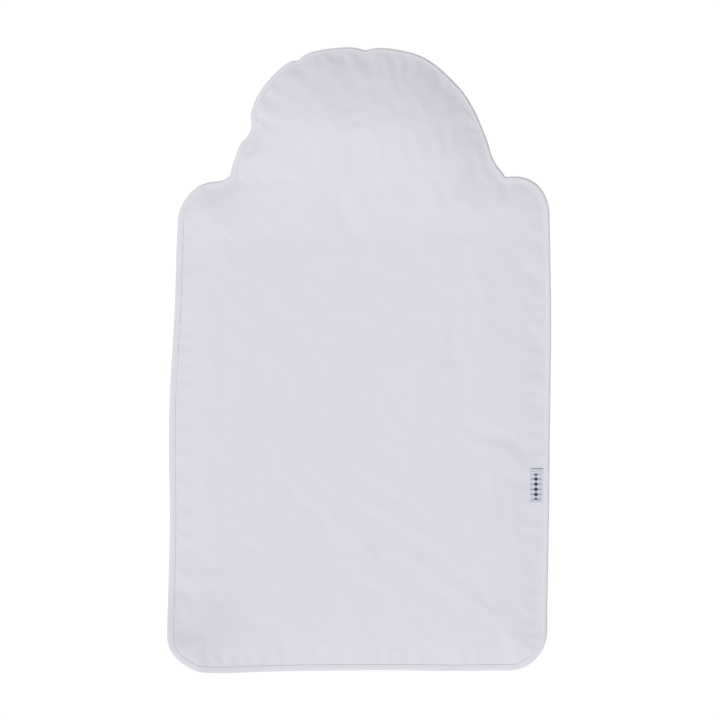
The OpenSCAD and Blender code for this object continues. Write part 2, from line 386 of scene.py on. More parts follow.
def edge_lift(p):
    """Height of the middle of the tape's outer edge."""
    rise = np.clip((p[:, 1] - NECK_Y) / (CROWN_Y - NECK_Y), 0, 1)
    long_waves = 1 + waves(p, 70 * MM, 3)
    short_waves = 1 + waves(p, 36 * MM, 4)
    wavy = 0.25 * MM * long_waves + 0.3 * MM * past_neck(p[:, 1]) * short_waves
    return EDGE_T / 2 + CROWN_LIFT * np.sin(0.5 * math.pi * rise) + wavy + curled_up(p)


# ---------------------------------------------------------------- how it lies

def pinched(p):
    """Points moved in where the edge of the pillow is pinched."""
    moved = p.copy()
    for (x, y), way, depth, half_width, reach in PINCHES:
        way = np.array(way) / np.hypot(*way)
        offset = p - np.array([x, y]) * MM
        inward = offset @ way
        across = offset @ np.array([-way[1], way[0]])
        near = 1 / (1 + (across / (half_width * MM)) ** 2) ** 1.5
        fades = 1 - smoothstep(inward / (reach * MM))
        this_side = np.abs(inward) < 60 * MM
        moved += (depth * MM * near * fades * this_side)[:, None] * way
    return moved


def laid(p, pinches=True):
    """Where points of the flat cut lie on the table, seen from above."""
    rows = np.array(LAY, float).T * MM
    side = 0.5 + 0.5 * np.clip(p[:, 0] / MAT_HALF, -1, 1)
    moved = p.copy()
    for near in (-24 * MM, -8 * MM, 8 * MM, 24 * MM):
        left = np.stack([np.interp(p[:, 1] + near, rows[0], rows[k]) for k in (1, 2)], axis=1)
        right = np.stack([np.interp(p[:, 1] + near, rows[0], rows[k]) for k in (3, 4)], axis=1)
        moved += 0.25 * (left * (1 - side[:, None]) + right * side[:, None])
    for place, way, radius in SHIFTS:
        far = np.linalg.norm(p - np.array(place) * MM, axis=1)
        moved += np.exp(-(far / (radius * MM)) ** 2)[:, None] * np.array(way) * MM
    hollow = np.clip(1 - (p[:, 0] / (0.85 * MAT_HALF)) ** 2, 0, 1)
    moved[:, 1] += FOOT_HOLLOW * hollow * smoothstep(1 - (p[:, 1] - FOOT_Y) / (120 * MM))
    bow = NECK_BOW * np.clip(1 - (p[:, 0] / PILLOW_HALF) ** 2, 0, 1)
    moved[:, 1] += bow * np.exp(-((p[:, 1] - NECK_Y) / (60 * MM)) ** 2)
    return pinched(moved) if pinches else moved


# ---------------------------------------------------------------- the cloth, cut flat

def lattice(low, high, step):
    """Points of even triangles that fill a rectangle."""
    rows = np.arange(low[1], high[1], step * math.sqrt(0.75))
    columns = np.arange(low[0], high[0], step)
    return np.array([(x + step / 2 * (k % 2), y) for k, y in enumerate(rows) for x in columns])


class Panel:
    """The flat cut inside the tape: its points, its triangles and which of them belong to the pillow."""

    def __init__(self, outline, normals):
        self.tilt = tape_tilt(outline[:, 1])
        self.inset = bend(TUCK, self.tilt)[0]
        self.ring = outline + normals * self.inset[:, None]
        neck_ends = [self.neck_end(side) for side in (-1, 1)]
        steps = round(2 * PILLOW_HALF / CLOTH_STEP)
        neck = np.linspace(self.ring[neck_ends[0]], self.ring[neck_ends[1]], steps)[1:-1]
        corners = np.array([[-MAT_HALF, FOOT_Y], [MAT_HALF, CROWN_Y]])
        filled = lattice(*corners, CLOTH_STEP)
        filled = filled[inside(filled, self.ring)]
        clear = nearest(filled, self.ring)[0] > 0.6 * CLOTH_STEP
        clear &= np.abs(filled[:, 1] - NECK_Y) > 0.6 * CLOTH_STEP
        p = np.vstack([self.ring, neck, filled[clear]])
        n = len(self.ring)
        path = [neck_ends[0], *range(n, n + len(neck)), neck_ends[1]]
        edges = [(i, (i + 1) % n) for i in range(n)] + list(zip(path[:-1], path[1:]))
        points, _, faces, *_ = geometry.delaunay_2d_cdt([Vector(v) for v in p], edges, [], 1, 1e-7)
        self.points = np.array([tuple(v) for v in points])
        faces = np.array([f for f in faces if len(f) == 3])
        a, b, c = (self.points[faces[:, k]] for k in range(3))
        clockwise = np.cross(b - a, c - a) < 0
        faces[clockwise] = faces[clockwise][:, ::-1]
        middle = (a + b + c) / 3
        keep = inside(middle, self.ring)
        self.faces = faces[keep]
        self.on_pillow = middle[keep, 1] > NECK_Y
        self.depth, self.beside, self.share = nearest(self.points, self.ring)
        self.depth[:n] = 0

    def from_ring(self, values):
        """A value of each of the outline's points, carried in to each point of the panel."""
        share = self.share if values.ndim == 1 else self.share[:, None]
        return values[self.beside] * (1 - share) + np.roll(values, -1, axis=0)[self.beside] * share

    def neck_end(self, side):
        """The ring's point where the neck line meets the tape, on one side."""
        far = np.abs(self.ring - np.array([side * PILLOW_HALF, NECK_Y])).sum(1)
        return int(far.argmin())


def neck_ramp(y):
    """How the stuffing rises across the neck, from 0 to 1."""
    return smoothstep((y - NECK_Y - RAMP_START) / RAMP_REACH)


class Edge:
    """Where the panel is in the tape, and how far each of its points is past the tape's inner edge."""

    def __init__(self, panel):
        self.middle = panel.from_ring(edge_lift(outline))
        tilt = panel.from_ring(panel.tilt)
        out = panel.from_ring(panel.inset) + panel.depth
        lip, lip_up, _ = bend(TAPE_W, tilt)
        radius = TAPE_W / tilt
        within = np.minimum(out, lip)
        self.up = radius - np.sqrt(radius ** 2 - within ** 2)
        self.angle = np.arcsin(within / radius)
        self.past = np.maximum(out - lip, 0)
        self.out = out
        self.lip = self.middle + lip_up

    def height(self, h):
        return self.middle + self.up + h * np.cos(self.angle)


def creases(p):
    """Heights of the soft folds, at points that lie at p."""
    wander = 5 * MM * np.stack([waves(p, 90 * MM, 21), waves(p, 90 * MM, 22)], axis=1)
    total = np.zeros(len(p))
    for start, end, height, half_width in FOLDS:
        start, end = np.array(start) * MM, np.array(end) * MM
        span = (end - start) / 2
        offset = p + wander - (start + end) / 2
        along = offset @ span / (span @ span)
        across = offset @ turned(unit(span)[None])[0]
        total += height * MM * np.exp(-(along / 0.75) ** 2 - (across / (half_width * MM)) ** 2)
    return total * smoothstep(edge.past / (9 * MM))


def gathers(panel, seed):
    """Radial puckers that run in from the edge seam: 0 in the dents, 1 between them."""
    along = distances_along(np.vstack([outline, outline[:1]]))[:-1]
    rng = np.random.default_rng(seed)
    dents = np.cumsum(rng.uniform(*DENT_SPACING, 200)) * MM
    dents = dents[dents < along[-1]]
    depth = rng.uniform(0.25, 1, len(dents))
    width = rng.uniform(*DENT_HALF_W, len(dents)) * MM
    reach = rng.uniform(*DENT_REACH, len(dents)) * MM
    lean = rng.uniform(-0.5, 0.5, len(dents))
    at = panel.from_ring(along)
    total = np.zeros(len(at))
    for place, deep, half, far, slant in zip(dents, depth, width, reach, lean):
        off = at - place - slant * edge.past
        spread = half * (1 + edge.past / far)
        total += deep * np.exp(-(off / spread) ** 2 - (edge.past / far) ** 1.5)
    return total * smoothstep(edge.past / (3 * MM))


def top_height(panel, p):
    """The top cloth before it is wrinkled, for points of the panel that lie at p."""
    y = panel.points[:, 1]
    ramp = neck_ramp(y)
    uneven = 0.4 * waves(p, 115 * MM, 1) + 0.12 * waves(p, 46 * MM, 2)
    full = MAT_T - SPARE_T + (PILLOW_T - MAT_T) * ramp + uneven * MM + curled_up(panel.points)
    roll = (ROLL + PILLOW_ROLL * ramp) * MM
    z = edge.height(TUCK_H) + (full - edge.lip - TUCK_H) * bulge(edge.past / roll, 2.2 + 0.3 * ramp)
    sewn = smoothstep((np.abs(panel.points[:, 0]) - SEAM_FROM) / (30 * MM))
    seam = SEAM_DENT * np.exp(-((y - NECK_Y) / SEAM_HALF_W) ** 2)
    z -= sewn * seam * smoothstep(edge.past / (10 * MM))
    z -= (DENT_DEPTH + PILLOW_DENT_DEPTH * past_neck(y)) * MM * gathers(panel, 5)
    return z + creases(p)


def bottom_height(panel):
    """The back cloth: on the table, and up to the tape at the edge."""
    roll = (4 + 36 * neck_ramp(panel.points[:, 1])) * MM
    flat_z = 0.1 * MM + curled_up(panel.points)
    return flat_z + (edge.height(-TUCK_H) - flat_z) * (1 - bulge(edge.past / roll, 1.8))


def spread_out(panel, lies, h, pinches=True):
    """Where the panel's points lie in plan, for a layer h above the middle of what the tape holds.

    lies is where the outline's points lie.
    """
    inward = edge_normals(lies)
    held = 1 - smoothstep(edge.past / (18 * MM))
    in_tape = panel.from_ring(lies) + panel.from_ring(inward) * edge.out[:, None]
    free = laid(panel.points, pinches)
    p = free + (in_tape - free) * held[:, None]
    return p - panel.from_ring(inward) * (h * np.sin(edge.angle) * held)[:, None]


# ---------------------------------------------------------------- mesh tools

def make_mesh(name, points, faces, smooth=True):
    mesh = bpy.data.meshes.new(name)
    mesh.from_pydata(np.asarray(points).tolist(), [], [list(map(int, f)) for f in faces])
    mesh.polygons.foreach_set("use_smooth", np.full(len(mesh.polygons), smooth))
    mesh.update()
    obj = bpy.data.objects.new(name, mesh)
    bpy.context.scene.collection.objects.link(obj)
    return obj


def vertex_normals(points, faces):
    """The way out of the surface at each point."""
    a, b, c = (points[faces[:, k]] for k in range(3))
    face = np.cross(b - a, c - a)
    total = np.zeros_like(points)
    for k in range(3):
        np.add.at(total, faces[:, k], face)
    return unit(total)


def border(faces):
    """The directed edges that only one face uses."""
    edges = np.vstack([faces[:, [0, 1]], faces[:, [1, 2]], faces[:, [2, 0]]])
    both = {tuple(e) for e in edges.tolist()}
    return np.array([e for e in edges.tolist() if (e[1], e[0]) not in both])


def sharpen(obj, rims):
    """Keeps the edges between those pairs of points from being shaded smooth."""
    rims = {tuple(sorted(e)) for e in rims}
    ends = np.zeros(len(obj.data.edges) * 2, np.int32)
    obj.data.edges.foreach_get("vertices", ends)
    sharp = obj.data.attributes.new("sharp_edge", "BOOLEAN", "EDGE")
    sharp.data.foreach_set("value", [tuple(sorted(e)) in rims for e in ends.reshape(-1, 2).tolist()])


def between(name, upper, lower, faces):
    """A closed solid between two layers that share their triangles. The upper one's triangles face up."""
    used, flat = np.unique(faces, return_inverse=True)
    flat = flat.reshape(-1, 3)
    n = len(used)
    rim = border(flat)
    sides = [(b, a, a + n, b + n) for a, b in rim.tolist()]
    points = np.vstack([upper[used], lower[used]])
    obj = make_mesh(name, points, flat.tolist() + (flat[:, ::-1] + n).tolist() + sides)
    sharpen(obj, rim.tolist() + (rim + n).tolist())
    return obj


# ---------------------------------------------------------------- cloth simulation

def add_group(obj, name, values):
    """A vertex group with those weights, to three decimals."""
    group = obj.vertex_groups.new(name=name)
    values = np.round(values, 3)
    for value in np.unique(values):
        group.add(np.flatnonzero(values == value).tolist(), float(value), "REPLACE")


def simulated(panel, start, rest, held, slack, longest, pressure, most, frames=16):
    """Where the points end after the cloth, cut a little longer than it lies, has buckled and puffed.

    held is how firmly each point is held to where it starts. The cloth is longer than it lies by the share
    longest where slack is 1, and no longer where it is 0. No point moves further than most.
    """
    faces = np.vstack([panel.faces, panel.faces[:, ::-1] + len(panel.points)])
    obj = make_mesh("cloth_run", start, faces)
    add_group(obj, "held", held)
    add_group(obj, "tight", 1 - slack)
    obj.shape_key_add(name="lies")
    cut = obj.shape_key_add(name="cut")
    cut.data.foreach_set("co", rest.ravel())
    cloth = obj.modifiers.new("cloth", "CLOTH")
    s = cloth.settings
    for setting, value in CLOTH.items():
        setattr(s, setting, value)
    s.vertex_group_mass = "held"
    s.rest_shape_key = cut
    s.vertex_group_shrink = "tight"
    s.shrink_min = -longest
    s.shrink_max = 0.0
    s.use_pressure = True
    s.uniform_pressure_force = pressure
    s.effector_weights.gravity = 0
    cloth.collision_settings.use_collision = False
    cloth.point_cache.frame_start = 1
    cloth.point_cache.frame_end = frames
    scene = bpy.context.scene
    for f in range(1, frames + 1):
        scene.frame_set(f)
    shape = obj.evaluated_get(bpy.context.evaluated_depsgraph_get()).to_mesh()
    end = np.zeros(len(shape.vertices) * 3)
    shape.vertices.foreach_get("co", end)
    end = end.reshape(-1, 3)
    scene.frame_set(1)
    bpy.data.objects.remove(obj)
    move = end - start
    length = np.linalg.norm(move, axis=1, keepdims=True)
    return start + move * np.minimum(1, most / np.maximum(length, 1e-9))


# ---------------------------------------------------------------- make the cloth

outline = whole_outline()
normals = edge_normals(outline)
panel = Panel(outline, normals)
edge = Edge(panel)
flat = spread_out(panel, laid(outline), TUCK_H)
flat_under = spread_out(panel, laid(outline), -TUCK_H)
unpinched = spread_out(panel, laid(outline, False), TUCK_H, False)
top_z = top_height(panel, flat)
bottom_z = bottom_height(panel)
count = len(panel.points)
start = np.vstack([np.column_stack([flat, top_z]), np.column_stack([flat_under, bottom_z])])
rest = np.vstack([np.column_stack([unpinched, top_z]), np.column_stack([unpinched, bottom_z])])
on_pillow = smoothstep((panel.points[:, 1] - NECK_Y) / (30 * MM))
in_tape = edge.past < 0.5 * MM
held_top = np.where(in_tape, 1.0, HELD + 0.02 * on_pillow)
held_bottom = np.where(in_tape, 1.0, HELD_BELOW)
slack_top = SLACK + PILLOW_SLACK * on_pillow + EDGE_SLACK * (1 - smoothstep(edge.past / (28 * MM)))
end = simulated(
    panel, start, rest,
    held=np.concatenate([held_top, held_bottom]),
    slack=np.concatenate([slack_top, np.zeros(count)]),
    longest=SLACKEST, pressure=PUFF, most=MOST,
)
end[:, 2] = np.maximum(end[:, 2], ABOVE_TABLE)
top, bottom = end[:count], end[count:]
bottom[:, 2] = np.minimum(bottom[:, 2], top[:, 2] - THINNEST)

n_top = vertex_normals(top, panel.faces)
n_bottom = -vertex_normals(bottom, panel.faces)


def under_top(depth):
    """The top cloth's surface, moved into the pad."""
    return top - n_top * depth


def over_bottom(depth):
    """The bottom cloth's surface, moved into the pad."""
    return bottom - n_bottom * depth


pillow_faces = panel.faces[panel.on_pillow]
mat_faces = panel.faces[~panel.on_pillow]
pieces = {}
FILM_DEPTH = CLOTH_T + GAP          # from the top of the top cloth to the top of the film
FILL_DEPTH = FILM_DEPTH + FILM_T + GAP
for part, faces, fill in (("mat", mat_faces, "mat_wadding"), ("pillow", pillow_faces, "pillow_filling")):
    film = under_top(FILM_DEPTH), under_top(FILM_DEPTH + FILM_T)
    lower = over_bottom(CLOTH_T + GAP)
    upper = under_top(FILL_DEPTH)
    upper[:, 2] = np.maximum(upper[:, 2], lower[:, 2] + 0.1 * MM)
    pieces[part + "_top_cover"] = between(part + "_top", top, under_top(CLOTH_T), faces)
    pieces[part + "_liner"] = between(part + "_film", *film, faces)
    pieces[part + "_back_cover"] = between(part + "_back", over_bottom(CLOTH_T), bottom, faces)
    pieces[fill] = between(part + "_fill", upper, lower, faces)


# ---------------------------------------------------------------- the tape, swept round the edge

def tape_section():
    """The folded tape's section: distance in from its outer edge, and height above its middle.

    In over and inner_over the distance is in mm, and the height is a share of half the edge's thickness.
    The tape dips at the row of stitches.
    """
    half = EDGE_T / 2 / MM
    over = [(8.4, 0.9), (8.0, 0.97), (7.1, 0.96), (6.3, 0.84), (5.7, 0.96), (4.4, 1.0), (2.6, 1.0),
            (1.4, 0.95), (0.6, 0.78), (0.15, 0.42), (0.0, 0.0)]
    outer = [(e, h * half) for e, h in over] + [(e, -min(h, 1.0) * half) for e, h in over[-2::-1]]
    inner_over = [(8.4, 0.64), (6.3, 0.6), (3.2, 0.68), (1.5, 0.6), (0.7, 0.3)]
    inner = [(e, -h * half) for e, h in inner_over] + [(e, h * half) for e, h in inner_over[::-1]]
    return np.array(outer + inner) * MM


def tape_frame(outline):
    """For each point of the outline: where it lies, the way in, the tilt and the height of the outer edge."""
    lies = laid(outline)
    return lies, edge_normals(lies), tape_tilt(outline[:, 1]), edge_lift(outline)


def on_tape(index, e, h):
    """The tape's point e in from its outer edge and h above its middle, at those of the outline's points."""
    lies, inward, tilt, height = (a[index] for a in tape_lies)
    out, up, angle = bend(e, tilt)
    out = out - h * np.sin(angle)
    return np.column_stack([lies + inward * out[:, None], np.maximum(height + up + h * np.cos(angle), 0)])


tape_lies = tape_frame(outline)


def sweep_tape(name, index):
    """The tape along those of the outline's points, closed at both ends."""
    thinner = SLIMMER * past_neck(outline[index, 1])
    rows = np.stack([on_tape(index, e, h * (1 - thinner * e / TAPE_W)) for e, h in tape_section()], axis=1)
    n, m = rows.shape[:2]
    faces = []
    for i in range(n - 1):
        for j in range(m):
            k = (j + 1) % m
            faces.append((i * m + j, i * m + k, (i + 1) * m + k, (i + 1) * m + j))
    faces.append(tuple(range(m))[::-1])
    faces.append(tuple((n - 1) * m + j for j in range(m)))
    obj = make_mesh(name, rows.reshape(-1, 3), faces)
    sharpen(obj, [(end * m + j, end * m + (j + 1) % m) for end in (0, n - 1) for j in range(m)])
    return obj


def tape_indices():
    """The outline's points on the mat and on the pillow. Both include the points where they meet."""
    n = len(outline)
    at = np.arange(n)
    high = outline[:, 1] > SHOULDER_Y + 0.35 * NECK_CORNER
    high &= np.abs(outline[:, 0]) < PILLOW_HALF + 0.5 * NECK_CORNER
    first, last = at[high][0], at[high][-1]
    return np.concatenate([np.arange(last, n), np.arange(0, first + 1)]), np.arange(first, last + 1)


mat_tape, pillow_tape = tape_indices()
pieces["mat_binding"] = sweep_tape("mat_tape", mat_tape)
pieces["pillow_binding"] = sweep_tape("pillow_tape", pillow_tape)


# ---------------------------------------------------------------- stitches

def stitches(name, path, up, length=2.7 * MM, pitch=3.3 * MM, r=0.22 * MM, proud=0.1 * MM):
    """Separate stitches along a path. up is the way out of the cloth at each of its points.

    r is the thread's radius, and proud is how far the middle of a stitch rises.
    """
    along = distances_along(path)
    count = int(along[-1] / pitch)
    shares = np.array([-0.5, -0.4, -0.15, 0.15, 0.4, 0.5])
    radii = r * np.array([0.35, 0.85, 1, 1, 0.85, 0.35])
    sides = 6
    ring = np.radians(np.arange(sides) * 360 / sides)
    points, faces = [], []
    for k in range(count):
        middle = (k + 0.5) * pitch
        at = middle + shares * length
        p = np.stack([np.interp(at, along, path[:, c]) for c in range(3)], axis=1)
        n = unit(np.stack([np.interp(at, along, up[:, c]) for c in range(3)], axis=1))
        t = unit(p[-1:] - p[:1])
        side = unit(np.cross(n, t))
        p = p + n * (proud * (1 - (2 * shares) ** 4) - 0.4 * r)[:, None]
        base = len(points)
        for q, w, u, radius in zip(p, side, n, radii):
            points.extend(q + radius * (np.cos(a) * w + np.sin(a) * u) for a in ring)
        for i in range(len(shares) - 1):
            for j in range(sides):
                a, b = base + i * sides + j, base + i * sides + (j + 1) % sides
                faces.append((a, b, b + sides, a + sides))
        faces.append(tuple(base + j for j in range(sides))[::-1])
        faces.append(tuple(base + (len(shares) - 1) * sides + j for j in range(sides)))
    return make_mesh(name, np.array(points), faces)


def tape_stitches(name, index, above):
    """The row of stitches in the tape, on its top or on its underside."""
    side = 1 if above else -1
    h = STITCH_H * EDGE_T / 2 * side
    path = on_tape(index, STITCH_IN, h * (1 - 0.17 * past_neck(outline[index, 1])))
    angle = bend(STITCH_IN, tape_lies[2][index])[2]
    inward = tape_lies[1][index]
    up = np.column_stack([-inward * np.sin(angle)[:, None], np.cos(angle)]) * side
    return stitches(name, path, up)


for part, tape in (("mat", mat_tape), ("pillow", pillow_tape)):
    index = tape[BARE_ENDS:-BARE_ENDS]
    pieces[part + "_binding_top_thread"] = tape_stitches(part + "_top_stitches", index, True)
    pieces[part + "_binding_back_thread"] = tape_stitches(part + "_back_stitches", index, False)

surface = BVHTree.FromPolygons([Vector(p) for p in top], panel.faces.tolist())


def drop(p):
    """Points in plan, put down on the top cloth, and the way up there."""
    found, ups = [], []
    for x, y in p:
        hit, up, *_ = surface.ray_cast(Vector((x, y, 0.2)), Vector((0, 0, -1)))
        found.append(hit if hit else Vector((x, y, EDGE_T)))
        ups.append(up if hit else Vector((0, 0, 1)))
    return np.array([tuple(v) for v in found]), np.array([tuple(v) for v in ups])


def joined(name, objects):
    """One object made of several."""
    points, faces = [], []
    for o in objects:
        base = len(points)
        points.extend(tuple(v.co) for v in o.data.vertices)
        faces.extend([base + i for i in f.vertices] for f in o.data.polygons)
        bpy.data.objects.remove(o)
    return make_mesh(name, np.array(points), faces)


def neck_stitches():
    """A row of stitches at each side of the neck. The middle has none."""
    rows = []
    for side in (-1, 1):
        x = side * np.linspace(62 * MM, 158 * MM, 40)
        path, up = drop(laid(np.column_stack([x, np.full(len(x), NECK_Y - 0.6 * MM)])))
        rows.append(stitches("row", path, up))
    return joined("neck_stitches", rows)


pieces["neck_seam_thread"] = neck_stitches()


# ---------------------------------------------------------------- the label

def label():
    """A woven label that lies on the top cloth beside the tape, and the points of its top in rows across it.

    It is a little raised along its middle, and its end toward the pillow stands up.
    """
    across, along = 14, 34
    width, length = LABEL_SHARE * (label_high.x - label_low.x), label_high.y - label_low.y
    centre = 0.5 * (label_low + label_high)
    a, b = np.meshgrid(np.linspace(-0.5, 0.5, across), np.linspace(-0.5, 0.5, along))
    a, b = a.ravel(), b.ravel()
    p = laid(np.column_stack([label_high.x + (a - 0.5) * width, centre.y + b * length]))
    grid = drop(p)[0][:, 2].reshape(along, across)
    for _ in range(6):
        grid[1:-1] = 0.5 * grid[1:-1] + 0.25 * (grid[:-2] + grid[2:])
        grid[:, 1:-1] = 0.5 * grid[:, 1:-1] + 0.25 * (grid[:, :-2] + grid[:, 2:])
    ends = np.exp(-((0.5 - np.abs(b)) / 0.05) ** 2)
    arch = LABEL_ARCH * (1 - ends) * np.cos(math.pi * a)
    lifted = LABEL_LIFT * np.exp(-((b - 0.5) / 0.06) ** 2)
    upper = np.column_stack([p, grid.ravel() + LABEL_UP + arch + lifted])
    faces = []
    for i in range(along - 1):
        for j in range(across - 1):
            k = i * across + j
            faces += [(k, k + 1, k + across + 1), (k, k + across + 1, k + across)]
    woven = between("woven_label", upper, upper - [0, 0, LABEL_T], np.array(faces))
    return woven, upper.reshape(along, across, 3)


def label_stitches(grid):
    """A row of thicker stitches across the label, near each end."""
    rows = []
    for k in (2, -3):
        path = grid[k]
        up = np.tile([0.0, 0.0, 1.0], (len(path), 1))
        row = stitches("row", path, up, length=2.0 * MM, pitch=2.5 * MM, r=0.34 * MM, proud=0.2 * MM)
        rows.append(row)
    return joined("label_stitches", rows)


pieces["side_label"], label_grid = label()
pieces["side_label_thread"] = label_stitches(label_grid)


# ---------------------------------------------------------------- materials

COVER = (0.672, 0.673, 0.732)
TAPE = (0.692, 0.69, 0.748)
THREAD = (0.69, 0.69, 0.75)
LABEL_THREAD = (0.36, 0.38, 0.47)
LABEL_SHADED = (0.55, 0.565, 0.64), (0.020, 0.028, 0.065)  # ground and pattern, as painted shade between the threads
LABEL_LIT = (0.66, 0.675, 0.745), (0.045, 0.058, 0.115)  # and as painted light on them
FLOOR = (0.965, 0.965, 0.965)
BAND_SCALE = 0.314                  # the wave node's scale for bands one unit apart


class Material:
    """A node material. Its methods add a node and return its output."""

    def __init__(self, name, colour, roughness, sheen=0.0):
        self.material = bpy.data.materials.new(name)
        self.material.use_nodes = True
        self.tree = self.material.node_tree
        self.shader = self.tree.nodes["Principled BSDF"]
        self.shader.inputs["Roughness"].default_value = roughness
        self.shader.inputs["Base Color"].default_value = (*colour, 1)
        self.shader.inputs["Sheen Weight"].default_value = sheen
        self.shader.inputs["Sheen Roughness"].default_value = 0.6
        self.shader.inputs["Specular IOR Level"].default_value = 0.25
        self.place = self.node("ShaderNodeTexCoord").outputs["Object"]

    def node(self, kind, **values):
        made = self.tree.nodes.new(kind)
        for key, value in values.items():
            setattr(made, key, value)
        return made

    def link(self, source, socket):
        self.tree.links.new(source, socket)

    def turned(self, angle):
        """The object's coordinates, turned in plan."""
        made = self.node("ShaderNodeMapping")
        made.inputs["Rotation"].default_value = (0, 0, angle)
        self.link(self.place, made.inputs["Vector"])
        return made.outputs["Vector"]

    def noise(self, size, detail=3.0):
        made = self.node("ShaderNodeTexNoise")
        made.inputs["Scale"].default_value = 1 / size
        made.inputs["Detail"].default_value = detail
        self.link(self.place, made.inputs["Vector"])
        return made.outputs["Fac"]

    def threads(self, pitch, direction, vector, distortion=0.6):
        """Ridges that far apart, as threads that lie side by side."""
        made = self.node("ShaderNodeTexWave", bands_direction=direction, wave_profile="SIN")
        made.inputs["Scale"].default_value = BAND_SCALE / pitch
        made.inputs["Distortion"].default_value = distortion
        made.inputs["Detail"].default_value = 1.0
        made.inputs["Detail Scale"].default_value = 2.0
        self.link(vector, made.inputs["Vector"])
        return made.outputs["Fac"]

    def maths(self, operation, a, b=None, c=None):
        made = self.node("ShaderNodeMath", operation=operation)
        for socket, value in zip(made.inputs, (a, b, c)):
            if value is None:
                continue
            if isinstance(value, (int, float)):
                socket.default_value = value
            else:
                self.link(value, socket)
        return made.outputs[0]

    def mixed(self, factor, a, b):
        """Colour a where factor is 0, and b where it is 1."""
        made = self.node("ShaderNodeMix", data_type="RGBA")
        self.link(factor, made.inputs["Factor"])
        for socket, value in ((made.inputs["A"], a), (made.inputs["B"], b)):
            if isinstance(value, tuple):
                socket.default_value = (*value, 1)
            else:
                self.link(value, socket)
        return made.outputs["Result"]

    def spread(self, value, low, high):
        """A value from 0 to 1, as one from low to high."""
        made = self.node("ShaderNodeMapRange")
        self.link(value, made.inputs["Value"])
        made.inputs["To Min"].default_value = low
        made.inputs["To Max"].default_value = high
        return made.outputs["Result"]

    def colour(self, value):
        self.link(value, self.shader.inputs["Base Color"])

    def roughness(self, value):
        self.link(value, self.shader.inputs["Roughness"])

    def bump(self, heights):
        """heights is a list of (value, height in metres)."""
        normal = None
        for value, height in heights:
            made = self.node("ShaderNodeBump")
            made.inputs["Strength"].default_value = 1.0
            made.inputs["Distance"].default_value = height
            self.link(value, made.inputs["Height"])
            if normal:
                self.link(normal, made.inputs["Normal"])
            normal = made.outputs["Normal"]
        self.link(normal, self.shader.inputs["Normal"])


def shade(colour, share):
    return tuple(c * share for c in colour)


def cloth_material(name, colour, pitch, angle=0.0, depth=0.05 * MM, nap=0.03 * MM):
    """Plain woven cloth, a little uneven in its threads and its colour, with painted shade between its
    threads.
    """
    m = Material(name, colour, 0.9, sheen=0.12)
    vector = m.turned(angle)
    warp, weft = (m.threads(pitch, d, vector) for d in "XY")
    weave = m.maths("MULTIPLY", warp, weft)
    slub = m.noise(2.2 * MM, 4.0)
    cloud = m.noise(45 * MM, 2.0)
    # The slubs and the clouds are tone that differs at random. The weave darkens the colour between the
    # threads, as painted shade.
    tone_and_weave_shade = m.maths("ADD", m.maths("MULTIPLY", slub, 0.35), m.maths("MULTIPLY", weave, 0.25))
    tone_and_weave_shade = m.maths("ADD", tone_and_weave_shade, m.maths("MULTIPLY", cloud, 0.4))
    m.colour(m.mixed(tone_and_weave_shade, shade(colour, 0.955), shade(colour, 1.035)))
    m.roughness(m.spread(slub, 0.82, 0.97))
    m.bump([(weave, depth), (slub, nap)])
    return m.material


def thread_material(name, colour):
    """Twisted sewing thread, with painted shade in the grooves of its twist."""
    m = Material(name, colour, 0.7, sheen=0.2)
    vector = m.turned(math.radians(35))
    twist = m.threads(0.35 * MM, "X", vector, 0.3)
    # The colour is darker in the twist's grooves and lighter on its ridges: painted shade and painted light.
    m.colour(m.mixed(twist, shade(colour, 0.9), shade(colour, 1.08)))
    m.roughness(m.spread(twist, 0.6, 0.8))
    m.bump([(twist, 0.06 * MM)])
    return m.material


def film_material():
    """Thin milky plastic film."""
    m = Material("waterproof_film", (0.86, 0.90, 0.94), 0.35)
    cloud = m.noise(12 * MM, 3.0)
    m.colour(m.mixed(cloud, (0.82, 0.87, 0.92), (0.88, 0.91, 0.95)))
    m.roughness(m.spread(cloud, 0.28, 0.45))
    m.bump([(m.noise(3 * MM), 0.05 * MM)])
    return m.material


def wadding_material():
    """White fluffy fibre."""
    m = Material("wadding", (0.88, 0.88, 0.86), 0.95, sheen=0.3)
    fluff = m.noise(1.6 * MM, 6.0)
    m.colour(m.mixed(fluff, (0.80, 0.80, 0.78), (0.93, 0.93, 0.92)))
    m.roughness(m.spread(fluff, 0.88, 1.0))
    m.bump([(fluff, 0.5 * MM)])
    return m.material


